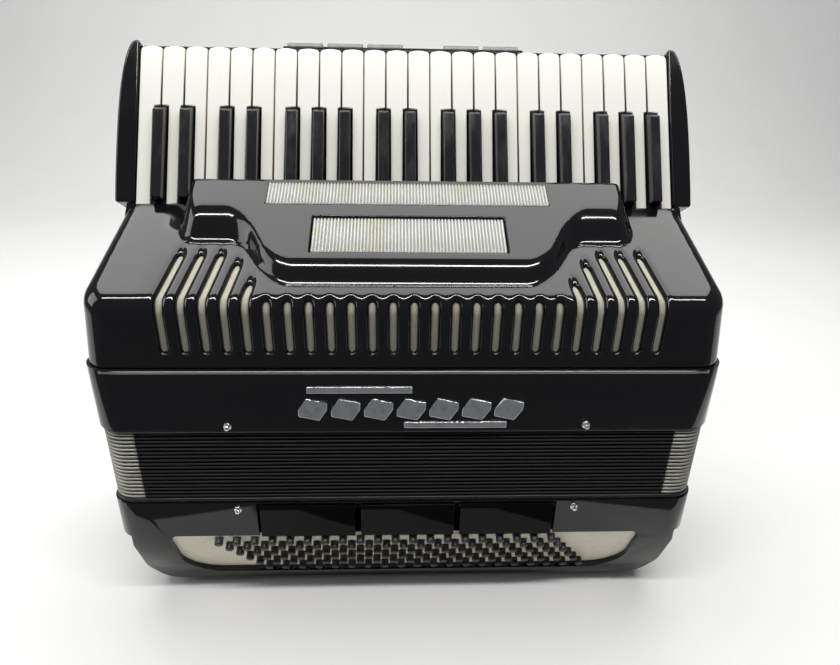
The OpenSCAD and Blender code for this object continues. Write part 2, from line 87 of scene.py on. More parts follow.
eye = at(-12, -553, 498)
camera_yaw = math.radians(2.52)
camera_dip = math.radians(24.96)
camera_roll = math.radians(1.13)
forward = Vector((math.sin(camera_yaw) * math.cos(camera_dip),
                  math.cos(camera_yaw) * math.cos(camera_dip), -math.sin(camera_dip)))
right = Vector((math.cos(camera_yaw), -math.sin(camera_yaw), 0))
up = right.cross(forward)
across = math.cos(camera_roll) * right + math.sin(camera_roll) * up
upward = math.cos(camera_roll) * up - math.sin(camera_roll) * right
camera = bpy.data.objects.new("camera", bpy.data.cameras.new("camera"))
bpy.context.scene.collection.objects.link(camera)
camera.matrix_world = Matrix((
    (across.x, upward.x, -forward.x, eye.x),
    (across.y, upward.y, -forward.y, eye.y),
    (across.z, upward.z, -forward.z, eye.z),
    (0, 0, 0, 1)))
camera.data.sensor_width = 36
camera.data.lens = 27.43
camera.data.clip_start = 0.02
bpy.context.scene.camera = camera

# ---- Studio -------------------------------------------------------------------------
# A pale floor that curves up into a backdrop, a wide ceiling panel that the sloping tops
# reflect, and a long lamp that draws a bright line along every rounded edge. The floor
# stops a little way in front, so the upright black walls reflect the dark beyond it.


class Sock:
    """An output of a shader node that takes part in ordinary arithmetic."""

    def __init__(self, finish, output):
        self.finish = finish
        self.output = output

    def sum(self, operation, a, b):
        return self.finish.add("Math", {"operation": operation}, {0: a, 1: b})

    def __add__(self, other):
        return self.sum("ADD", self, other)

    def __radd__(self, other):
        return self.sum("ADD", other, self)

    def __sub__(self, other):
        return self.sum("SUBTRACT", self, other)

    def __rsub__(self, other):
        return self.sum("SUBTRACT", other, self)

    def __mul__(self, other):
        return self.sum("MULTIPLY", self, other)

    def __rmul__(self, other):
        return self.sum("MULTIPLY", other, self)

    def step(self, low, high):
        """0 below low, 1 above high, and a smooth turn between them."""
        return self.finish.add("MapRange", {"interpolation_type": "SMOOTHSTEP"},
                               {"Value": self, "From Min": low, "From Max": high})


class Finish:
    """A material being mixed: add() makes one node, and paint() sets the surface shader."""

    def __init__(self, name):
        self.material = bpy.data.materials.new(name)
        self.material.use_nodes = True
        self.tree = self.material.node_tree
        self.surface = self.tree.nodes["Principled BSDF"]

    def add(self, kind, settings=None, inputs=None, output=0):
        node = self.tree.nodes.new("ShaderNode" + kind)
        for name, value in (settings or {}).items():
            setattr(node, name, value)
        for name, value in (inputs or {}).items():
            self.plug(node.inputs[name], value)
        return Sock(self, node.outputs[output])

    def plug(self, socket, value):
        if isinstance(value, Sock):
            self.tree.links.new(value.output, socket)
        elif socket.type == "RGBA":
            socket.default_value = (*value, 1)
        else:
            socket.default_value = value

    def paint(self, **inputs):
        for name, value in inputs.items():
            self.plug(self.surface.inputs[name.replace("_", " ")], value)
        return self.material

    def place(self, stretch=(1, 1, 1)):
        spot = self.add("TexCoord", output="Object")
        return self.add("Mapping", inputs={"Vector": spot, "Scale": stretch})

    def noise(self, size_mm, detail=3, stretch=(1, 1, 1)):
        """Cloudy values from 0 to 1 whose lumps are about size_mm across."""
        return self.add("TexNoise", inputs={"Vector": self.place(stretch), "Scale": 1 / (size_mm * MM),
                                            "Detail": detail, "Roughness": 0.55})

    def axis(self, which):
        """One coordinate on the object, in millimetres."""
        spot = self.add("TexCoord", output="Object")
        return self.add("SeparateXYZ", inputs={"Vector": spot}, output=which) * (1 / MM)

    def mix(self, amount, a, b):
        return self.add("Mix", {"data_type": "RGBA"}, {"Factor": amount, 6: a, 7: b}, output=2)

    def bump(self, height, depth_mm, strength=1.0, under=None):
        inputs = {"Height": height, "Distance": depth_mm * MM, "Strength": strength}
        if under is not None:
            inputs["Normal"] = under
        return self.add("Bump", inputs=inputs)


def piece(name, mesh, *materials):
    """Turns a bmesh into a smooth object of the scene, with its outside facing out."""
    bmesh.ops.recalc_face_normals(mesh, faces=mesh.faces)
    data = bpy.data.meshes.new(name)
    mesh.to_mesh(data)
    mesh.free()
    for material in materials:
        data.materials.append(material)
    data.shade_smooth()
    obj = bpy.data.objects.new(name, data)
    bpy.context.scene.collection.objects.link(obj)
    return obj


def web(mesh, lines, closed=False):
    """Joins each line of points to the next one with faces, round to its start if closed."""
    faces = []
    for lower, upper in zip(lines, lines[1:]):
        for k in range(len(lower) if closed else len(lower) - 1):
            n = (k + 1) % len(lower)
            faces.append(mesh.faces.new((lower[k], lower[n], upper[n], upper[k])))
    return faces


floor_front = -0.25
floor_half_w = 3.0
backdrop_y = 2.2
backdrop_top = 2.6
bend_r = 0.9
bend_steps = 24
stage_mesh = bmesh.new()
outline = [(floor_front, 0.0), (backdrop_y - bend_r, 0.0)]
for step in range(1, bend_steps + 1):
    turn = math.pi / 2 * step / bend_steps
    outline.append((backdrop_y - bend_r + bend_r * math.sin(turn), bend_r - bend_r * math.cos(turn)))
outline.append((backdrop_y, backdrop_top))
sides = [[stage_mesh.verts.new((x, y, z)) for y, z in outline] for x in (-floor_half_w, floor_half_w)]
web(stage_mesh, sides)
paper = Finish("studio_paper")
paper_tone = paper.noise(180, 2)
paper_shade = paper.mix(paper_tone, (0.80, 0.80, 0.79), (0.84, 0.84, 0.83))
floor = piece("studio_floor", stage_mesh,
              paper.paint(Base_Color=paper_shade, Roughness=0.75,
                          Normal=paper.bump(paper.noise(1.2, 4), 0.05, 0.3)))


def panel(name, place, target, wide, deep, watts, tint=(1, 1, 1)):
    lamp = bpy.data.lights.new(name, "AREA")
    lamp.shape = "RECTANGLE"
    lamp.size = wide
    lamp.size_y = deep
    lamp.energy = watts
    lamp.color = tint
    obj = bpy.data.objects.new(name, lamp)
    bpy.context.scene.collection.objects.link(obj)
    obj.location = place
    obj.rotation_euler = (Vector(target) - Vector(place)).to_track_quat("-Z", "Y").to_euler()


panel("ceiling_panel", (0, 0.62, 1.9), (0, 0.45, 0.3), 2.6, 1.25, 36, (1, 1, 0.98))
panel("tube_lamp", (0, -0.62, 1.8), (0, 0, 0.35), 2.4, 0.06, 24, (1, 0.99, 0.97))
panel("side_panel", (-2.1, -0.3, 1.3), (0, 0, 0.2), 1.0, 1.2, 12)
world = bpy.data.worlds.new("studio")
world.use_nodes = True
world.node_tree.nodes["Background"].inputs["Color"].default_value = (0.9, 0.93, 1, 1)
world.node_tree.nodes["Background"].inputs["Strength"].default_value = 0.16
bpy.context.scene.world = world
bpy.context.scene.view_settings.view_transform = "Standard"

# ---- Grille cover -------------------------------------------------------------------
# One moulding of black celluloid over the treble reeds. Its front wall turns over a
# rounded edge into a sloping roof, a hump with a forward nose rises from the roof, and 25
# louvres with rounded lips run up the front, the outer ones over the edge onto the roof.


def gloss_black(name, tone=0.005, rough=0.07, shine=0.5):
    """Polished black celluloid with faint smears, dust, fine scratches and a wavy skin."""
    skin = Finish(name)
    smear = skin.noise(35, 4, (1, 1, 0.6)).step(0.45, 0.75)
    dust = skin.noise(0.9, 2).step(0.70, 0.78)
    scratch = skin.noise(3.5, 3, (1, 0.06, 1)).step(0.66, 0.72)
    dirt = dust * 0.6 + scratch * 0.25
    waves = skin.bump(skin.noise(14, 1), 0.02, 0.5)
    return skin.paint(
        Base_Color=skin.mix(dirt, (tone, tone, tone * 1.12), (tone * 3.2, tone * 3.1, tone * 2.9)),
        Roughness=rough + smear * 0.05 + dirt * 0.12, Specular_IOR_Level=shine,
        Normal=skin.bump(skin.noise(1.1, 2), 0.004, 0.5, waves))


celluloid = gloss_black("black_celluloid")
rim_z = 254.3
cover_half_w = 260.2
cover_rake = 0.112
cover_front = -98.4
plan_r, eave_r, rim_r = 22.0, 11.0, 1.6
roof_at, roof_slope = (-86.0, 316.0), 0.41748
hump_at, hump_slope = (-70.0, 334.0), 0.5508
hump_half_w = 188.0
hump_end = 16.6
# The hump's wings and nose stand on these feet and spread by this much for each
# millimetre below the crown. The last number brings the gap back to true length.
wing_foot, wing_rake, wing_spread, wing_length = (-33.0, 338.4), 0.62, 0.3, 1.044
nose_foot, nose_rake, nose_spread, nose_length = (-79.5, 318.7), 0.55, 0.45, 1.25
nose_half_w, shoulder_from, shoulder_flare = 104.0, -80.0, 25 / 42
hump_corner_r, hump_inner_r, crown_r, root_r = 13.0, 10.0, 4.6, 3.5
key_lean = math.radians(29.5)
louvre_pitch = 16.4
louvre_mid = 3.5
ray_y, ray_half_w = -42.0, 214.0
louvre_count = 25
# Both lists count the louvres from either end of the row to its middle. A louvre's cloth
# stops where y + z reaches the first number, and the lip beyond is stretched by the other.
LOUVRE_TOP = [288.7, 288.7, 288.7, 273.5, 243.5] + [217.5] * 8
LIP_STRETCH = [3.6, 3.6, 3.6, 3.8, 4.0] + [2.7] * 8
louvre_low = 267.5
low_stretch = 1.15
slot_half_w = 2.5
slot_step = 0.5
lip_r = 5.0
slot_deep = 7.2
# On the roof the louvres lean towards the middle by this share of their run back, apart
# from those near the middle, and from the very ends of the front wall
louvre_lean, lean_from, lean_run = 0.13, -92.0, 47.0
lean_inner, lean_inner_fade, lean_end_fade = 112.0, 8.0, 6.0
# Each screen's width, and where it starts and ends from front to back
SCREENS = [(245, -11, 13.5), (162, -60, -25)]
window_deep = 3.4


def meet(radius, *gaps):
    """Distance outside the solid where all of several solids overlap, its edges rounded."""
    stack = np.stack(gaps)
    return np.minimum(-radius, stack.max(0)) + np.linalg.norm(np.maximum(stack + radius, 0), axis=0)


def join(radius, a, b):
    """Distance outside two solids that run into each other with a rounded inner corner."""
    near = np.stack([np.maximum(radius - a, 0), np.maximum(radius - b, 0)])
    return np.maximum(radius, np.minimum(a, b)) - np.linalg.norm(near, axis=0)


def above(y, z, point, slope):
    return (z - point[1] - slope * (y - point[0])) / math.hypot(1, slope)


def before(y, z, foot, rake):
    return np.maximum((foot[0] - y + rake * (z - foot[1])) / math.hypot(1, rake), foot[0] - y)


def cover_gap(p):
    """Distance in millimetres of points p outside the cover's skin."""
    x, y, z = np.abs(p[..., 0]), p[..., 1], p[..., 2]
    out_x = x + cover_rake * (z - rim_z) - (cover_half_w - plan_r)
    out_y = np.abs(y) + cover_front + plan_r
    plan = (np.hypot(np.maximum(out_x, 0), np.maximum(out_y, 0))
            + np.minimum(np.maximum(out_x, out_y), 0) - plan_r)
    box = meet(eave_r, plan, above(y, z, roof_at, roof_slope))
    box = meet(rim_r, box, rim_z - z)
    crown = above(y, z, hump_at, hump_slope)
    wing_side = (x - hump_half_w + wing_spread * crown) / wing_length
    wings = meet(hump_corner_r, before(y, z, wing_foot, wing_rake), wing_side)
    nose_w = nose_half_w + shoulder_flare * (y - shoulder_from)
    nose_side = (x - nose_w + nose_spread * crown) / nose_length
    nose = meet(hump_corner_r, before(y, z, nose_foot, nose_rake), nose_side)
    hump = meet(crown_r, join(hump_inner_r, wings, nose), crown)
    return join(root_r, box, hump)


def louvre_depth(x, y, z):
    """How deep the louvres press into the skin at a point of it."""
    k = np.clip(np.round((x - louvre_mid) / louvre_pitch), -(louvre_count // 2), louvre_count // 2)
    from_end = (louvre_count // 2 - np.abs(k)).astype(int)
    past_top = (y + z - np.array(LOUVRE_TOP)[from_end]) / np.array(LIP_STRETCH)[from_end]
    past = np.maximum(np.maximum((louvre_low - z) / low_stretch, past_top) + slot_half_w, 0)
    away = np.hypot(x - louvre_mid - k * louvre_pitch, past)
    over = np.clip(slot_half_w + lip_r - away, 0, lip_r)
    lip = lip_r - np.sqrt(np.maximum(lip_r ** 2 - over ** 2, 0))
    inner = np.clip((slot_half_w - away) / slot_step, 0, 1)
    return np.where(away < slot_half_w, lip_r + (slot_deep - lip_r) * inner, lip)


def lean(x, y):
    """How far towards the middle a line that leaves the front wall at x has leant at y."""
    ends = np.clip((ray_half_w - np.abs(x)) / lean_end_fade, 0, 1)
    middle = np.clip((np.abs(x) - lean_inner) / lean_inner_fade, 0, 1)
    return np.sign(x) * louvre_lean * np.clip(y - lean_from, 0, lean_run) * ends * middle


def screen_depth(x, y, z):
    """How deep the two screens' windows are pressed into the top of the hump."""
    depth = np.zeros_like(x)
    on_top = above(y, z, hump_at, hump_slope) > -1.2
    for wide, y0, y1 in SCREENS:
        inside = np.minimum(wide / 2 - np.abs(x), np.minimum(y - y0, y1 - y))
        depth = np.maximum(depth, window_deep * np.clip(inside + 0.3, 0, 1))
    return depth * on_top


def skin_points(origin, direction):
    """Where rays from inside the cover come out through its skin."""
    low = np.full(direction.shape[:-1], 3.0)
    high = np.full(direction.shape[:-1], 330.0)
    for _ in range(34):
        half = (low + high) / 2
        outside = cover_gap(origin + half[..., None] * direction) > 0
        high = np.where(outside, half, high)
        low = np.where(outside, low, half)
    return low


def skin_normals(p):
    offsets = np.eye(3) * 0.05
    slope = np.stack([cover_gap(p + o) - cover_gap(p - o) for o in offsets], axis=-1)
    return slope / np.linalg.norm(slope, axis=-1, keepdims=True)


# Rays fan out from a line along the back of the cover's rim, and turn at both its ends
last_turn = math.pi / 2 + key_lean


def ray(x, turn, swing):
    x, turn, swing = np.broadcast_arrays(x, turn, swing)
    flat = np.cos(swing)
    direction = np.stack([np.sin(swing), -np.cos(turn) * flat, np.sin(turn) * flat], axis=-1)
    origin = np.stack([x, np.full(x.shape, ray_y), np.full(x.shape, rim_z)], axis=-1)
    return origin, direction


def ray_rows():
    """Turns of the rays, close together where the skin bends or a louvre ends."""
    turns = np.linspace(0, last_turn, 4001)
    need = np.zeros(4000)
    for x in (0, 60, 100, 108, 116, 124, 132, 140, 150, 180, 189, 193, 206):
        origin, direction = ray(x, turns, 0.0)
        p = origin + skin_points(origin, direction)[:, None] * direction
        n = skin_normals(p)
        length = np.linalg.norm(np.diff(p, axis=0), axis=1)
        bend = np.degrees(np.arccos(np.clip((n[1:] * n[:-1]).sum(1), -1, 1)))
        y, z = p[1:, 1], p[1:, 2]
        near = (np.abs(z - louvre_low + 2) < 5) & (y < cover_front + 2)
        for top in sorted(set(LOUVRE_TOP)):
            near |= (y + z > top - 3) & (y + z < top + 20) & ((x > 130) | (top < 210))
        fine = np.where(near, 1.1, 3.2)
        need = np.maximum(need, np.minimum(length, 4) / fine + np.minimum(bend, 20) / 8)
    total = np.concatenate([[0], np.cumsum(need)])
    return np.interp(np.linspace(0, total[-1], int(total[-1])), total, turns)


lip_steps = [0, 1.3, 1.9, 2.3, 2.55, 2.8, 3.2, 3.8, 4.6, 5.8, 7.5]
columns = []
for k in range(louvre_count):
    centre = louvre_mid + (k - louvre_count // 2) * louvre_pitch
    columns += [centre - s for s in lip_steps[:0:-1]] + [centre + s for s in lip_steps]
    columns.append(centre + louvre_pitch / 2)
columns = [-ray_half_w] + [x for x in columns if abs(x) < ray_half_w - 0.3] + [ray_half_w]
fan_steps = 46
swings = [math.pi / 2 * k / fan_steps for k in range(1, fan_steps + 1)]
column_x = np.array([-ray_half_w] * fan_steps + columns + [ray_half_w] * fan_steps)
column_swing = np.array([-s for s in reversed(swings)] + [0.0] * len(columns) + swings)
row_turn = ray_rows()
origin, direction = ray(column_x[:, None], row_turn[None, :], column_swing[:, None])
upright = origin + skin_points(origin, direction)[..., None] * direction
origin[..., 0] -= lean(origin[..., 0], upright[..., 1])
reach = skin_points(origin, direction)
back_reach = np.where(direction[..., 1] > 0.01,
                      (hump_end - ray_y) / np.maximum(direction[..., 1], 0.01), 1e6)
beyond = reach > back_reach
skin = origin + np.minimum(reach, back_reach)[..., None] * direction
outward = skin_normals(skin)
press = louvre_depth(np.broadcast_to(column_x[:, None], reach.shape), skin[..., 1], skin[..., 2])
press = np.maximum(press, screen_depth(skin[..., 0], skin[..., 1], skin[..., 2]))
skin = skin - outward * press[..., None]
cover_mesh = bmesh.new()
grid = [[cover_mesh.verts.new(at(*p)) for p in line] for line in skin]
for c in range(len(grid) - 1):
    for r in range(len(row_turn) - 1):
        corners = [(c, r), (c + 1, r), (c + 1, r + 1), (c, r + 1)]
        if not all(beyond[i, j] for i, j in corners):
            cover_mesh.faces.new([grid[i][j] for i, j in corners])
bmesh.ops.remove_doubles(cover_mesh, verts=cover_mesh.verts, dist=1e-6)
bmesh.ops.delete(cover_mesh, geom=[v for v in cover_mesh.verts if not v.link_faces], context="VERTS")
cover = piece("grille_cover_moulding", cover_mesh, celluloid)
if sum(poly.normal.z * poly.area for poly in cover.data.polygons) < 0:
    cover.data.flip_normals()


def thicken(obj, wall_mm, offset=-1):
    """Gives a sheet a wall, behind its face unless the offset says otherwise."""
    wall = obj.modifiers.new("wall", "SOLIDIFY")
    wall.thickness = wall_mm * MM
    wall.offset = offset


thicken(cover, 1.8)
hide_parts("grille_cover")
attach(cover, "treble_section")

# ---- Grille cloth -------------------------------------------------------------------
# Strips of woven cream cloth glued behind the louvres. Each bellies out a little between
# the lips that hold it, and follows the front wall round onto the roof.
weave = Finish("grille_weave")
thread = 0.55
warp = weave.add("Math", {"operation": "SINE"}, {0: weave.axis("X") * (2 * math.pi / thread)})
weft = weave.add("Math", {"operation": "SINE"},
                 {0: (weave.axis("Z") + weave.axis("Y") * 0.7) * (2 * math.pi / thread)})
weave_height = warp * weft
weave_tone = weave.mix(weave.noise(9, 4), (0.60, 0.57, 0.44), (0.46, 0.43, 0.34))
# The raised crowns of the weave are painted lighter, a painted highlight on the threads.
weave_tone = weave.mix(weave_height.step(-0.2, 1.0) * 0.35, weave_tone, (0.74, 0.71, 0.60))
cloth_finish = weave.paint(Base_Color=weave_tone, Roughness=0.85, Sheen_Weight=0.2,
                           Normal=weave.bump(weave_height, 0.12, 0.8))
cloth_mesh = bmesh.new()
cloth_cols = 9
cloth_half_w = 3.4
cloth_deep, cloth_belly = 5.7, 1.0
for k in range(louvre_count):
    centre = louvre_mid + (k - louvre_count // 2) * louvre_pitch
    top = LOUVRE_TOP[min(k, louvre_count - 1 - k)]
    xs = centre + np.linspace(-cloth_half_w, cloth_half_w, cloth_cols)
    o, d = ray(xs[:, None], row_turn[None, :], 0.0)
    p = o + skin_points(o, d)[..., None] * d
    o[..., 0] -= lean(o[..., 0], p[..., 1])
    p = o + skin_points(o, d)[..., None] * d
    sunk = cloth_deep - cloth_belly * (1 - ((xs - centre) / cloth_half_w) ** 2)
    p_in = p - skin_normals(p) * sunk[:, None, None]
    keep = (p[0, :, 2] > louvre_low - 2.5) & (p[0, :, 1] + p[0, :, 2] < top + 6)
    rows = np.flatnonzero(keep)
    mesh_rows = [[cloth_mesh.verts.new(at(*p_in[c, r])) for c in range(cloth_cols)] for r in rows]
    web(cloth_mesh, mesh_rows)
cloth = piece("grille_cloth_strips", cloth_mesh, cloth_finish)
thicken(cloth, 0.5, 0)
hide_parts("grille_cloth")
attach(cloth, "treble_section")

# ---- Screens ------------------------------------------------------------------------
# Two plates of silvered metal, pressed into a row of half-round ribs and let into the
# windows of the hump. The silver has yellowed in soft clouds and streaks.
silver = Finish("ribbed_silver")
clouds = silver.noise(26, 4).step(0.48, 0.78)
streaks = silver.noise(5, 3, (1, 0.2, 0.2)).step(0.55, 0.8)
tarnish = clouds * 0.6 + streaks * 0.4
rib_finish = silver.paint(
    Base_Color=silver.mix(tarnish, (0.50, 0.51, 0.49), (0.46, 0.41, 0.27)),
    Metallic=0.3, Roughness=0.34 + tarnish * 0.2,
    Normal=silver.bump(silver.noise(0.8, 3, (1, 0.3, 0.3)), 0.03, 0.5))
rib_pitch = 2.8
RIB_SHAPE = [(0.0, -1.5), (0.06, -0.5), (0.2, 0.35), (0.36, 0.78), (0.5, 0.9), (0.64, 0.78),
             (0.8, 0.35), (0.94, -0.5)]
screen_sink = 1.4
screen_mesh = bmesh.new()
crown_normal = Vector((0, -hump_slope, 1)).normalized()
for wide, y0, y1 in SCREENS:
    ribs = int(wide / rib_pitch)
    start = -ribs * rib_pitch / 2
    ends = [(y0 + 0.2, -1.6), (y0 + 0.7, -0.5), (y0 + 1.6, 0), (y1 - 1.6, 0), (y1 - 0.7, -0.5),
            (y1 - 0.2, -1.6)]
    lines = []
    for y, drop in ends:
        z = hump_at[1] + hump_slope * (y - hump_at[0])
        line = []
        for k in range(ribs):
            for part, height in RIB_SHAPE:
                spot = at(start + (k + part) * rib_pitch, y, z)
                out = (min(height, height + drop) - screen_sink) * MM
                line.append(screen_mesh.verts.new(spot + crown_normal * out))
        lines.append(line)
    web(screen_mesh, lines)
screens = piece("ribbed_screens", screen_mesh, rib_finish)
thicken(screens, 0.4)
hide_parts("grille_screens")
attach(screens, "treble_section")

# ---- Treble case --------------------------------------------------------------------
# The box that carries the keyboard: glued wood covered in black celluloid, whose sheets
# are bent round the corners and scraped to a soft edge where two of them meet.


def soft_copy(node, name, edge_mm, *materials, segments=3, sharp=32):
    """The designed part with its tiny facets joined up and its edges rounded over."""
    mesh = bmesh.new()
    mesh.from_mesh(frame["nodes"][node].data)
    bmesh.ops.remove_doubles(mesh, verts=mesh.verts, dist=2e-6)
    bmesh.ops.dissolve_limit(mesh, angle_limit=math.radians(0.5), verts=mesh.verts, edges=mesh.edges)
    obj = piece(name, mesh, *materials)
    round_edges(obj, edge_mm, segments, sharp)
    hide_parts(node)
    return obj


def round_edges(obj, edge_mm, segments=3, sharp=32):
    edges = obj.modifiers.new("rounded_edges", "BEVEL")
    edges.width = edge_mm * MM
    edges.segments = segments
    edges.limit_method = "ANGLE"
    edges.angle_limit = math.radians(sharp)
    edges.harden_normals = True


treble_case = soft_copy("treble_case", "treble_case_shell", 1.8, celluloid, segments=4)
# Behind the cover its end walls lean inwards like the cover's own ends
case_half_w = case_high.x / MM
for vertex in treble_case.data.vertices:
    rise = vertex.co.z / MM - rim_z
    if rise > 0:
        vertex.co.x *= 1 - (case_half_w - cover_half_w + cover_rake * rise) / case_half_w
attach(treble_case, "treble_section")

# A narrow strip of dull trim is let into the front and back edges below the cover. It
# sinks into the case at the corners.
trim_metal = Finish("seam_trim_metal")
trim_haze = trim_metal.noise(12, 4, (0.3, 1, 1))
trim_tone = trim_metal.mix(trim_haze, (0.42, 0.42, 0.41), (0.30, 0.30, 0.29))
trim_finish = trim_metal.paint(Base_Color=trim_tone, Metallic=0.9, Roughness=0.3 + trim_haze * 0.2,
                               Normal=trim_metal.bump(trim_haze, 0.02, 0.4))
TRIM_SHAPE = [(3, 0), (-0.1, 0), (-0.45, 0.6), (-0.55, 1.3), (-0.45, 2.0), (-0.1, 2.6), (3, 2.6)]
case_half_d = 100
trim_z = 250.0
trim_half_w, trim_straight = 246, 226
trim_mesh = bmesh.new()
for side in (-1, 1):
    lines = []
    for inset, height in TRIM_SHAPE:
        line = []
        for x in range(-trim_half_w, trim_half_w + 1, 6):
            sunk = 0.002 * max(0, abs(x) - trim_straight) ** 2
            line.append(trim_mesh.verts.new(at(x, side * (case_half_d - inset - sunk), trim_z + height)))
        lines.append(line)
    web(trim_mesh, lines)
trim = piece("seam_trim", trim_mesh, trim_finish)
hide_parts("treble_case")
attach(trim, "treble_section")

# ---- Key bed ------------------------------------------------------------------------
# The board under the keys, with a bowed cheek at each end, a polished rail past the key
# tips and a small box that holds the palm registers. All of it is covered like the case.
key_run = Vector((0, math.sin(key_lean), math.cos(key_lean)))
key_out = Vector((0, -math.cos(key_lean), math.sin(key_lean)))
pivot = next(Vector(j["pos_m"]) for j in frame["joints"] if j["name"] == "white_key_1_press")
pivot_behind, pivot_below = 22, 6
key_base = Vector((0, pivot.y, pivot.z)) + (pivot_behind * key_run + pivot_below * key_out) * MM


def on_keys(x, along, out):
    """A place on the keyboard: across it, along the white keys, and out of their tops."""
    return key_base + (Vector((x, 0, 0)) + along * key_run + out * key_out) * MM


def stack_up(mesh, rings):
    """Adds a solid between closed rings; gives its lower face, upper face and sides."""
    return [mesh.faces.new(rings[0][::-1]), mesh.faces.new(rings[-1])] + web(mesh, rings, closed=True)


def slab(mesh, outline, low, high):
    """Adds a flat solid with this outline between two heights over the keys."""
    return stack_up(mesh, [[mesh.verts.new(on_keys(x, y, out)) for x, y in outline] for out in (low, high)])


def oblong(x0, x1, y0, y1):
    return [(x0, y0), (x1, y0), (x1, y1), (x0, y1)]


white_count = 24
key_pitch = 20.1
bank_half_w = key_pitch * white_count / 2
cheek_in = bank_half_w + 0.6
key_len = 145.0
cheek_bulge, cheek_curve = 17.5, 2.6
cheek_widest, cheek_half_len = 45.0, key_len - 39
rail_t = 3.0
bed_back, bed_top = -32.0, -20.0
cheek_end = key_len + 1.5 + rail_t
rail_top = -9.0
cheeks_mesh = bmesh.new()
for side in (-1, 1):
    bow = []
    for k in range(49):
        along = cheek_end * k / 48
        share = max(0, 1 - (abs(along - cheek_widest) / cheek_half_len) ** cheek_curve)
        bow.append((side * (cheek_in + cheek_bulge * share ** (1 / cheek_curve)), along))
    slab(cheeks_mesh, [(side * cheek_in, 0)] + bow + [(side * cheek_in, cheek_end)], bed_back, 2)
cheeks = piece("key_bed_cheeks", cheeks_mesh, celluloid)
round_edges(cheeks, 4.5, 6, 40)
bed_mesh = bmesh.new()
slab(bed_mesh, oblong(-cheek_in, cheek_in, 5, cheek_end - rail_t), bed_back, bed_top)
slab(bed_mesh, oblong(-cheek_in - 0.5, cheek_in + 0.5, cheek_end - rail_t, cheek_end), bed_back, rail_top)
for side in (-1, 1):
    low_x, high_x = sorted((side * cheek_in, side * (cheek_in + 3.5)))
    slab(bed_mesh, oblong(low_x, high_x, -30, 0.5), bed_back, -1)
bed = piece("key_bed_board", bed_mesh, celluloid)
round_edges(bed, 1.3, 4)
TAB_X = [-95, -58, -21, 50, 87]
tab_w, tab_t, tab_slack = 33.0, 4.5, 0.4
tab_low = cheek_end + 0.8
tab_high = tab_low + tab_t
box_ends = (-117, 110)
box_low, box_high = cheek_end + 0.05, tab_high + 2
box_top, pocket_floor = -19.0, -30.5
pocket_high = tab_high + tab_slack
box_mesh = bmesh.new()
slab(box_mesh, oblong(*box_ends, pocket_high, box_high), bed_back, box_top)
slab(box_mesh, oblong(*box_ends, box_low, pocket_high), bed_back, pocket_floor)
walls = [box_ends[0]] + [x + s * (tab_w / 2 + tab_slack) for x in TAB_X for s in (-1, 1)] + [box_ends[1]]
for k in range(0, len(walls), 2):
    slab(box_mesh, oblong(walls[k], walls[k + 1], box_low, pocket_high), pocket_floor, box_top)
tab_box = piece("register_tab_box", box_mesh, celluloid)
round_edges(tab_box, 0.5, 3)
for part in (cheeks, bed, tab_box):
    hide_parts("key_bed")
    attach(part, "treble_section")

# ---- Palm registers -----------------------------------------------------------------
# Five tabs of grey plastic in a row past the key tips. Each is moulded in one piece, sits
# in its own pocket of the box and is pushed down by the palm.
tab_plastic = Finish("tab_plastic")
tab_wear = tab_plastic.noise(6, 4).step(0.45, 0.8)
tab_finish = tab_plastic.paint(
    Base_Color=tab_plastic.mix(tab_wear, (0.16, 0.16, 0.16), (0.24, 0.24, 0.235)),
    Roughness=0.22 + tab_wear * 0.15, Normal=tab_plastic.bump(tab_plastic.noise(0.7, 3), 0.01, 0.5))
tab_bottom, tab_top = -26.0, -8.7
for k, x in enumerate(TAB_X, 1):
    tab_mesh = bmesh.new()
    slab(tab_mesh, oblong(x - tab_w / 2, x + tab_w / 2, tab_low, tab_high), tab_bottom, tab_top)
    tab = piece(f"palm_register_{k}", tab_mesh, tab_finish)
    round_edges(tab, 1.2, 5)
    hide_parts(f"register_tab_{k}")
    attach(tab, f"register_tab_{k}")

# ---- White keys ---------------------------------------------------------------------
# Wooden sticks with ivory-white plastic caps, arched at the tip and rounded along the top.
# Behind the pivot a steel wire runs down to a felted wooden pallet on the soundboard.
ivory = Finish("key_ivory")
across_key = ivory.axis("X") + bank_half_w
joint_place = ivory.add("Math", {"operation": "PINGPONG"}, {0: across_key, 1: key_pitch / 2})
# Each key is painted darker and browner towards its sides, a painted shade where the gaps between the keys
# fall.
painted_gap_shade = 1 - joint_place.step(0.15, 1.3)
ivory_grain = ivory.noise(2.5, 4, (1, 0.08, 0.08))
ivory_cloud = ivory.noise(60, 3)
ivory_tone = ivory.mix(ivory_cloud, (0.87, 0.86, 0.80), (0.82, 0.81, 0.74))
ivory_tone = ivory.mix(ivory_grain.step(0.4, 0.9) * 0.25, ivory_tone, (0.76, 0.73, 0.62))
ivory_tone = ivory.mix(painted_gap_shade * 0.75, ivory_tone, (0.46, 0.36, 0.19))
ivory_finish = ivory.paint(Base_Color=ivory_tone, Roughness=0.16 + ivory_cloud * 0.12,
                           Subsurface_Weight=0.08, Subsurface_Radius=(0.004, 0.003, 0.002),
                           Normal=ivory.bump(ivory_grain, 0.004, 0.5))
wood = Finish("reed_wood")
rings = wood.noise(2.2, 4, (0.12, 1, 1))
wood_tone = wood.mix(rings.step(0.35, 0.75), (0.60, 0.40, 0.20), (0.40, 0.24, 0.11))
wood_finish = wood.paint(Base_Color=wood_tone, Roughness=0.5 + rings * 0.2,
                         Normal=wood.bump(rings, 0.05, 0.6))
steel = Finish("plain_steel")
drawn = steel.noise(1.0, 3, (0.1, 1, 1))
steel_finish = steel.paint(Base_Color=steel.mix(drawn, (0.62, 0.62, 0.62), (0.48, 0.47, 0.46)),
                           Metallic=1.0, Roughness=0.22 + drawn * 0.18,
                           Normal=steel.bump(drawn, 0.01, 0.5))
key_t = 12.0
key_gap = 0.5
black_w = 11.0
notch_gap = 1.2
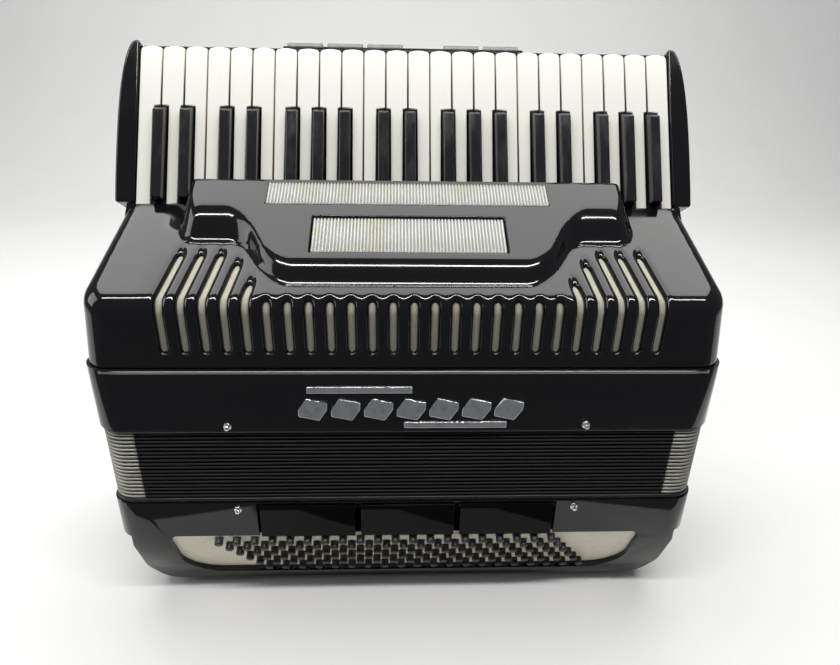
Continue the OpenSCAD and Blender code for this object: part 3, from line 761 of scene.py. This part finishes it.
black_len = 88.0
cut_along = -20.0
pallet_top = rim_z - 8.3 + 5.4
BLACK_OFFSET = [0, 3.5, None, -2, 2, None, -3.5]


def has_black(i):
    return 1 <= i < white_count and BLACK_OFFSET[(i - 1) % 7] is not None


def black_x(i):
    return -bank_half_w + i * key_pitch + BLACK_OFFSET[(i - 1) % 7]


def add_action(mesh, node):
    """Adds the wires and pallets behind the pivot, which the keys hide at rest."""
    part = bmesh.new()
    part.from_mesh(frame["nodes"][node].data)
    bmesh.ops.remove_doubles(part, verts=part.verts, dist=2e-6)
    bmesh.ops.bisect_plane(part, geom=part.verts[:] + part.edges[:] + part.faces[:],
                           plane_co=on_keys(0, cut_along, 0), plane_no=key_run, clear_outer=True)
    bmesh.ops.holes_fill(part, edges=[e for e in part.edges if e.is_boundary])
    bmesh.ops.dissolve_limit(part, angle_limit=math.radians(0.5), verts=part.verts, edges=part.edges)
    copies = {v: mesh.verts.new(v.co) for v in part.verts}
    for face in part.faces:
        new = mesh.faces.new([copies[v] for v in face.verts])
        new.material_index = 1 if face.calc_center_median().z / MM < pallet_top else 2
    part.free()


def weigh(mesh, faces, weight):
    """Marks every edge around a face, so that the rounding there is this wide."""
    layers = mesh.edges.layers.float
    layer = layers.get("bevel_weight_edge") or layers.new("bevel_weight_edge")
    for face in faces:
        for edge in face.edges:
            edge[layer] = max(edge[layer], weight(edge))


def weighted_edges(obj, edge_mm, segments):
    round_edges(obj, edge_mm, segments)
    obj.modifiers["rounded_edges"].limit_method = "WEIGHT"


def white_outline(i):
    x0 = -bank_half_w + key_pitch * (i - 1) + key_gap / 2
    x1 = x0 + key_pitch - key_gap
    notch = black_w / 2 + notch_gap
    tail0 = black_x(i - 1) + notch if has_black(i - 1) else x0
    tail1 = black_x(i) - notch if has_black(i) else x1
    shoulder = black_len + notch_gap
    corner, crown = 3.6, 0.9
    middle, half = (x0 + x1) / 2, (x1 - x0) / 2
    corner_y = key_len - crown - corner
    points = [(tail0, cut_along), (tail1, cut_along)]
    if tail1 < x1:
        points += [(tail1, shoulder), (x1, shoulder)]
    for k in range(7):
        turn = math.pi / 2 * k / 6
        points.append((x1 - corner + corner * math.cos(turn), corner_y + corner * math.sin(turn)))
    for k in range(1, 8):
        x = x1 - corner - (2 * half - 2 * corner) * k / 8
        points.append((x, key_len - crown * ((x - middle) / (half - corner)) ** 2))
    for k in range(7):
        turn = math.pi / 2 * (1 + k / 6)
        points.append((x0 + corner + corner * math.cos(turn), corner_y + corner * math.sin(turn)))
    if tail0 > x0:
        points += [(x0, shoulder), (tail0, shoulder)]
    return points


tip_line = on_keys(0, key_len - 6, 0)
for i in range(1, white_count + 1):
    key_mesh = bmesh.new()
    faces = slab(key_mesh, white_outline(i), -key_t, 0)
    weigh(key_mesh, faces[1:2],
          lambda e: 1.0 if min((v.co - tip_line).dot(key_run) for v in e.verts) > 0 else 0.45)
    add_action(key_mesh, f"white_key_{i}")
    key = piece(f"white_key_cap_{i}", key_mesh, ivory_finish, wood_finish, steel_finish)
    weighted_edges(key, 2.0, 4)
    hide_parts(f"white_key_{i}")
    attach(key, f"white_key_{i}")

# ---- Black keys ---------------------------------------------------------------------
# Narrow black caps with sloping sides and a bevelled front, on the same kind of stick,
# wire and pallet as the white keys.
black_plastic = Finish("key_black_plastic")
black_smear = black_plastic.noise(14, 4, (1, 0.5, 0.5)).step(0.4, 0.8)
black_scratch = black_plastic.noise(1.8, 3, (1, 0.05, 0.05)).step(0.64, 0.72)
black_finish = black_plastic.paint(
    Base_Color=black_plastic.mix(black_scratch * 0.4, (0.010, 0.010, 0.011), (0.05, 0.05, 0.05)),
    Roughness=0.14 + black_smear * 0.14,
    Normal=black_plastic.bump(black_plastic.noise(1.4, 2), 0.006, 0.5))
GROUPS = [[1, 2], [4, 5], [7, 8, 9], [11, 12], [14, 15, 16], [18, 19], [21, 22, 23]]
black_rise = 9.0
CAP_RINGS = [(5.45, 1.9, 87.9, -key_t), (5.45, 1.9, 88.0, -1.0), (4.6, 2.6, 82.6, black_rise)]
for g, group in enumerate(GROUPS, 1):
    caps_mesh = bmesh.new()
    for i in group:
        x = black_x(i)
        rings = []
        for half, rear, tip, out in CAP_RINGS:
            rings.append([caps_mesh.verts.new(on_keys(x + sx * half, along, out))
                          for sx, along in ((-1, rear), (1, rear), (1, tip), (-1, tip))])
        faces = stack_up(caps_mesh, rings)
        weigh(caps_mesh, faces[1:2] + faces[6:], lambda e: 1.0)
        slab(caps_mesh, oblong(x - 5.4, x + 5.4, cut_along, 1.9), -key_t, -0.3)
    add_action(caps_mesh, f"black_keys_{g}")
    caps = piece(f"black_key_caps_{g}", caps_mesh, black_finish, wood_finish, steel_finish)
    weighted_edges(caps, 1.25, 4)
    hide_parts(f"black_keys_{g}")
    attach(caps, f"black_keys_{g}")
rod = soft_copy("key_rod", "key_hinge_rod", 0.2, steel_finish)
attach(rod, "treble_section")

# ---- Bellows ------------------------------------------------------------------------
# Eighteen folds of cloth-covered card. Each fold is a deep V whose ridge is bound in black
# cloth tape, and the tape is never quite straight. Pressed metal guards clip over every
# ridge at the four corners. Opening the bellows spreads the folds.
card = Finish("bellows_cloth")
tape_weave = card.noise(0.5, 3, (0.5, 0.5, 1))
tape_wear = card.noise(22, 4, (1, 1, 2)).step(0.5, 0.8)
card_tone = card.mix(tape_weave, (0.006, 0.006, 0.0065), (0.013, 0.013, 0.014))
card_tone = card.mix(tape_wear * 0.5, card_tone, (0.022, 0.0215, 0.021))
card_finish = card.paint(Base_Color=card_tone, Roughness=0.5 + tape_wear * 0.2, Specular_IOR_Level=0.3,
                         Normal=card.bump(tape_weave, 0.03, 0.8))
nickel = Finish("guard_nickel")
brushed = nickel.noise(1.2, 4, (1, 1, 0.15))
dulled = nickel.noise(15, 4).step(0.4, 0.75)
nickel_tone = nickel.mix(dulled, (0.46, 0.45, 0.41), (0.34, 0.33, 0.29))
nickel_tone = nickel.mix(brushed.step(0.5, 0.8) * 0.4, nickel_tone, (0.26, 0.25, 0.22))
nickel_finish = nickel.paint(Base_Color=nickel_tone, Metallic=0.8, Roughness=0.46 + dulled * 0.14,
                             Normal=nickel.bump(brushed, 0.02, 0.6))
bellows_low, bellows_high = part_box("bellows")
bellows_half_w = (bellows_high.x - bellows_low.x) / 2 / MM - 0.5
bellows_half_d = (bellows_high.y - bellows_low.y) / 2 / MM - 0.5
bellows_r = 20.0
folds = 18
fold_pitch = (bellows_high.z - bellows_low.z) / MM / folds
fold_deep = 22.0
luck = random.Random(41)
WAVES = [[(luck.uniform(0, 6.28), luck.uniform(25, 60), luck.uniform(0.03, 0.12)) for _ in range(3)]
         for _ in range(folds)]


CORNERS = [(1, 1), (-1, 1), (-1, -1), (1, -1)]


def loop_points(half_w, half_d, radius, gap):
    """Points and outward directions round a rectangle with round corners."""
    points = []
    for quarter, (sx, sy) in enumerate(CORNERS):
        centre = (sx * (half_w - radius), sy * (half_d - radius))
        for k in range(11):
            turn = math.pi / 2 * (quarter + k / 10)
            nx, ny = math.cos(turn), math.sin(turn)
            x, y = centre[0] + radius * nx, centre[1] + radius * ny
            points.append((x, y, nx, ny))
        run = 2 * (half_w if quarter % 2 == 0 else half_d) - 2 * radius
        steps = int(run / gap)
        for k in range(1, steps):
            points.append((x - ny * run * k / steps, y + nx * run * k / steps, nx, ny))
    return points


def fold_wave(fold, distance):
    return sum(size * math.sin(distance / length + phase) for phase, length, size in WAVES[fold])


bellows_mesh = bmesh.new()
loop_gap = 8.0
loop = loop_points(bellows_half_w, bellows_half_d, bellows_r, loop_gap)
FOLD_SHAPE = [(fold_deep, 0.02), (1.3, 0.24), (0.35, 0.31), (0.0, 0.42), (0.0, 0.58), (0.35, 0.69),
              (1.3, 0.76), (fold_deep, 0.98)]
rings = []
for fold in range(folds):
    for inset, share in FOLD_SHAPE:
        ring = []
        for k, (x, y, nx, ny) in enumerate(loop):
            lift = fold_wave(fold, k * loop_gap) if inset < 2 else 0.0
            z = bellows_low.z / MM + (fold + share) * fold_pitch + lift
            ring.append(bellows_mesh.verts.new(at(x - nx * inset, y - ny * inset, z)))
        rings.append(ring)
web(bellows_mesh, rings, closed=True)
bellows = piece("bellows_folds", bellows_mesh, card_finish)
thicken(bellows, 0.6)
guard_mesh = bmesh.new()
guard_reach = 10.0
GUARD_SHAPE = [(7, 0.16), (0.6, 0.22), (0.0, 0.30), (-0.4, 0.42), (-0.4, 0.58), (0.0, 0.70), (0.6, 0.78),
               (7, 0.84)]
for quarter, (sx, sy) in enumerate(CORNERS):
    centre = (sx * (bellows_half_w - bellows_r), sy * (bellows_half_d - bellows_r))
    path = []
    for k in range(-2, 15):
        turn = math.pi / 2 * (quarter + min(max(k / 12, 0), 1))
        nx, ny = math.cos(turn), math.sin(turn)
        past = (min(k, 0) + max(k - 12, 0)) / 2 * guard_reach
        x, y = centre[0] + bellows_r * nx, centre[1] + bellows_r * ny
        path.append((x - ny * past, y + nx * past, nx, ny))
    for fold in range(folds):
        lines = []
        for inset, share in GUARD_SHAPE:
            z = bellows_low.z / MM + (fold + share) * fold_pitch
            lines.append([guard_mesh.verts.new(at(x - nx * inset, y - ny * inset, z))
                          for x, y, nx, ny in path])
        web(guard_mesh, lines)
guards = piece("bellows_corner_guards", guard_mesh, nickel_finish)
thicken(guards, 0.25)
for part, slot in ((bellows, "bellows_card"), (guards, "bright_trim")):
    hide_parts("bellows")
    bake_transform(part, "bass_section", "treble_section",
             start=(0, 0, bellows_low.z), end=(0, 0, bellows_high.z))

# ---- Bellows frames and strap studs -------------------------------------------------
# A black wooden frame closes each end of the bellows. Chromed studs on the cases take the
# straps that hold the bellows shut.
stain = Finish("black_stained_wood")
pores = stain.noise(1.6, 4, (0.1, 1, 1)).step(0.55, 0.8)
stain_finish = stain.paint(Base_Color=stain.mix(pores, (0.012, 0.012, 0.013), (0.03, 0.027, 0.025)),
                           Roughness=0.3 + pores * 0.3, Normal=stain.bump(pores, 0.03, 0.5))
chrome = Finish("polished_chrome")
haze = chrome.noise(8, 4).step(0.45, 0.8)
chrome_finish = chrome.paint(Base_Color=chrome.mix(haze, (0.86, 0.87, 0.88), (0.68, 0.68, 0.67)),
                             Metallic=1.0, Roughness=0.07 + haze * 0.16,
                             Normal=chrome.bump(chrome.noise(1.0, 3), 0.006, 0.5))
STUD_X = [-150, 150]
STUD_SHAPE = [(3.4, 0), (3.4, 0.8), (2.9, 1.2), (1.5, 1.4), (1.3, 2.4), (1.9, 2.8), (2.3, 3.4), (2.2, 4.1),
              (1.4, 4.7)]
stud_tip = 4.8
stud_from_edge = 3.4
frame_t = 4
FRAME_SHAPE = [(14, 0.1), (0.8, 0.1), (0.1, 0.8), (0.1, 3.2), (0.8, 3.9), (14, 3.9)]


def turned(mesh, shape, tip, spot, out, sides=20):
    """Adds a lathe-turned solid that stands on spot and ends in a point of height tip."""
    along = Vector((1, 0, 0))
    third = out.cross(along)
    rings = []
    for radius, height in shape:
        ring = []
        for k in range(sides):
            turn = 2 * math.pi * k / sides
            round_axis = along * radius * math.cos(turn) + third * radius * math.sin(turn)
            ring.append(mesh.verts.new(spot + (out * height + round_axis) * MM))
        rings.append(ring)
    mesh.faces.new(rings[0][::-1])
    web(mesh, rings, closed=True)
    point = mesh.verts.new(spot + out * tip * MM)
    for k in range(sides):
        mesh.faces.new((rings[-1][k], rings[-1][(k + 1) % sides], point))


for which, body in (("treble", "treble_section"), ("bass", "bass_section")):
    node = f"{which}_bellows_frame"
    low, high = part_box(node)
    ring_low = low.z / MM if which == "treble" else high.z / MM - frame_t
    stud_z = high.z / MM - stud_from_edge if which == "treble" else low.z / MM + stud_from_edge
    outer = loop_points(bellows_half_w + 1.2, bellows_half_d + 1.2, bellows_r + 1, 40)
    frame_mesh = bmesh.new()
    rings = [[frame_mesh.verts.new(at(x - nx * inset, y - ny * inset, ring_low + height))
              for x, y, nx, ny in outer] for inset, height in FRAME_SHAPE]
    web(frame_mesh, rings + rings[:1], closed=True)
    wooden = piece(f"{which}_bellows_end_frame", frame_mesh, stain_finish)
    stud_mesh = bmesh.new()
    for x in STUD_X:
        for side in (-1, 1):
            turned(stud_mesh, STUD_SHAPE, stud_tip, at(x, side * case_half_d, stud_z), Vector((0, side, 0)))
    studs = piece(f"{which}_strap_studs", stud_mesh, chrome_finish)
    for part, slot in ((wooden, "black_wood"), (studs, "bright_trim")):
        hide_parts(node)
        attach(part, body)

# ---- Bright fittings on the treble case ---------------------------------------------
# A plain ornament of two bars and a row of lozenges, cast and chromed, pinned to the
# front, and four lugs on the back for the shoulder straps.
ornament = soft_copy("nameplate", "front_ornament", 0.7, chrome_finish)
lugs = soft_copy("strap_brackets", "shoulder_strap_lugs", 0.5, chrome_finish)
for part in (ornament, lugs):
    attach(part, "treble_section")

# ---- Inside the cases ---------------------------------------------------------------
# Waxed spruce reed blocks, glued up from thin boards and fixed to their soundboards. They
# are seen only when the instrument is opened.
for node, body in (("treble_reed_blocks", "treble_section"), ("bass_reed_blocks", "bass_section")):
    blocks = soft_copy(node, f"{node}_spruce", 0.4, wood_finish, segments=2)
    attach(blocks, body)

# ---- Bass case ----------------------------------------------------------------------
# The box for the left hand: upright above, stepped in and sloping under the registers,
# covered like the treble case. A flat plate closes it below.
bass_case = soft_copy("bass_case", "bass_case_shell", 2.4, celluloid, segments=4)
bass_plate = soft_copy("bass_plate", "bass_bottom_plate", 0.8, celluloid)
for part in (bass_case, bass_plate):
    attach(part, "bass_section")
rubber = Finish("foot_rubber")
speckle = rubber.noise(0.8, 3)
rubber_finish = rubber.paint(Base_Color=rubber.mix(speckle, (0.018, 0.018, 0.018), (0.04, 0.04, 0.038)),
                             Roughness=0.7 + speckle * 0.2, Normal=rubber.bump(speckle, 0.05, 0.6))
feet = soft_copy("feet", "rubber_feet", 0.5, rubber_finish)
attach(feet, "bass_section")

# ---- Bass registers -----------------------------------------------------------------
# Three plates covered in celluloid and polished higher than the cases. Each rocks on a
# pin along its upper edge.
register_finish = gloss_black("register_celluloid", 0.002, 0.045, 0.12)
for k in (1, 2, 3):
    register = soft_copy(f"bass_register_{k}", f"bass_register_plate_{k}", 0.9, register_finish)
    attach(register, f"bass_register_{k}")

# ---- Button board and buttons -------------------------------------------------------
# A cream board with long rounded ends, yellowed and faintly soiled around the buttons,
# and 120 black buttons with softly domed tops, all on one part because they press alike.
cream = Finish("cream_celluloid")
cream_cloud = cream.noise(24, 4)
cream_spots = cream.noise(1.6, 3).step(0.64, 0.72)
cream_soil = cream.noise(9, 3).step(0.5, 0.85)
cream_tone = cream.mix(cream_cloud, (0.93, 0.88, 0.72), (0.84, 0.78, 0.61))
cream_tone = cream.mix(cream_soil * 0.5, cream_tone, (0.58, 0.52, 0.38))
cream_tone = cream.mix(cream_spots * 0.25, cream_tone, (0.30, 0.26, 0.19))
cream_finish = cream.paint(Base_Color=cream_tone, Roughness=0.32 + cream_cloud * 0.18,
                           Normal=cream.bump(cream.noise(0.9, 3), 0.01, 0.6))
board = soft_copy("button_board", "button_board_cream", 0.5, cream_finish)
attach(board, "bass_section")
button_black = Finish("button_plastic")
touch = button_black.noise(3, 3)
button_tone = button_black.mix(touch, (0.012, 0.012, 0.012), (0.028, 0.027, 0.026))
button_finish = button_black.paint(Base_Color=button_tone, Roughness=0.24 + touch * 0.25,
                                   Normal=button_black.bump(button_black.noise(0.6, 2), 0.01, 0.5))
board_slope = math.radians(24.8)
board_down = Vector((0, math.sin(board_slope), -math.cos(board_slope)))
board_out = Vector((0, -math.cos(board_slope), -math.sin(board_slope)))
board_top = at(0, -case_half_d, 83.5)
button_rows, button_columns = 6, 20
button_pitch, row_pitch, row_shift, first_row = 16.0, 11.54, 7.5, 4.5
BUTTON_SHAPE = [(3.7, -8), (3.75, 5.4), (3.62, 6.1), (3.2, 6.6), (2.4, 6.85), (1.2, 6.96)]
button_tip = 7.0
buttons_mesh = bmesh.new()
for r in range(button_rows):
    for c in range(button_columns):
        x = (c - (button_columns - 1) / 2) * button_pitch + (r - (button_rows - 1) / 2) * row_shift
        spot = board_top + Vector((x * MM, 0, 0)) + board_down * (first_row + r * row_pitch) * MM
        turned(buttons_mesh, BUTTON_SHAPE, button_tip, spot, board_out, sides=18)
buttons = piece("bass_button_set", buttons_mesh, button_finish)
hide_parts("bass_buttons")
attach(buttons, "bass_buttons")

# ---- Hand strap, wheel and air button -----------------------------------------------
# A leather strap under the bass case, the knurled wheel that tightens it, and the chromed
# button that lets air into the bellows.
leather = Finish("strap_leather")
grain = leather.add("TexVoronoi", {"feature": "DISTANCE_TO_EDGE"},
                    {"Vector": leather.place(), "Scale": 700.0})
crease = leather.noise(4, 4)
leather_finish = leather.paint(Base_Color=leather.mix(crease, (0.035, 0.027, 0.022), (0.07, 0.055, 0.045)),
                               Roughness=0.5 + crease * 0.2, Normal=leather.bump(grain, 0.08, 0.7))
strap = soft_copy("bass_strap", "leather_hand_strap", 0.6, leather_finish)
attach(strap, "bass_section")
wheel = soft_copy("strap_wheel", "strap_tension_wheel", 0.25, steel_finish, segments=2, sharp=50)
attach(wheel, "strap_wheel")
air = soft_copy("air_button", "air_valve_button", 0.9, chrome_finish)
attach(air, "air_button")
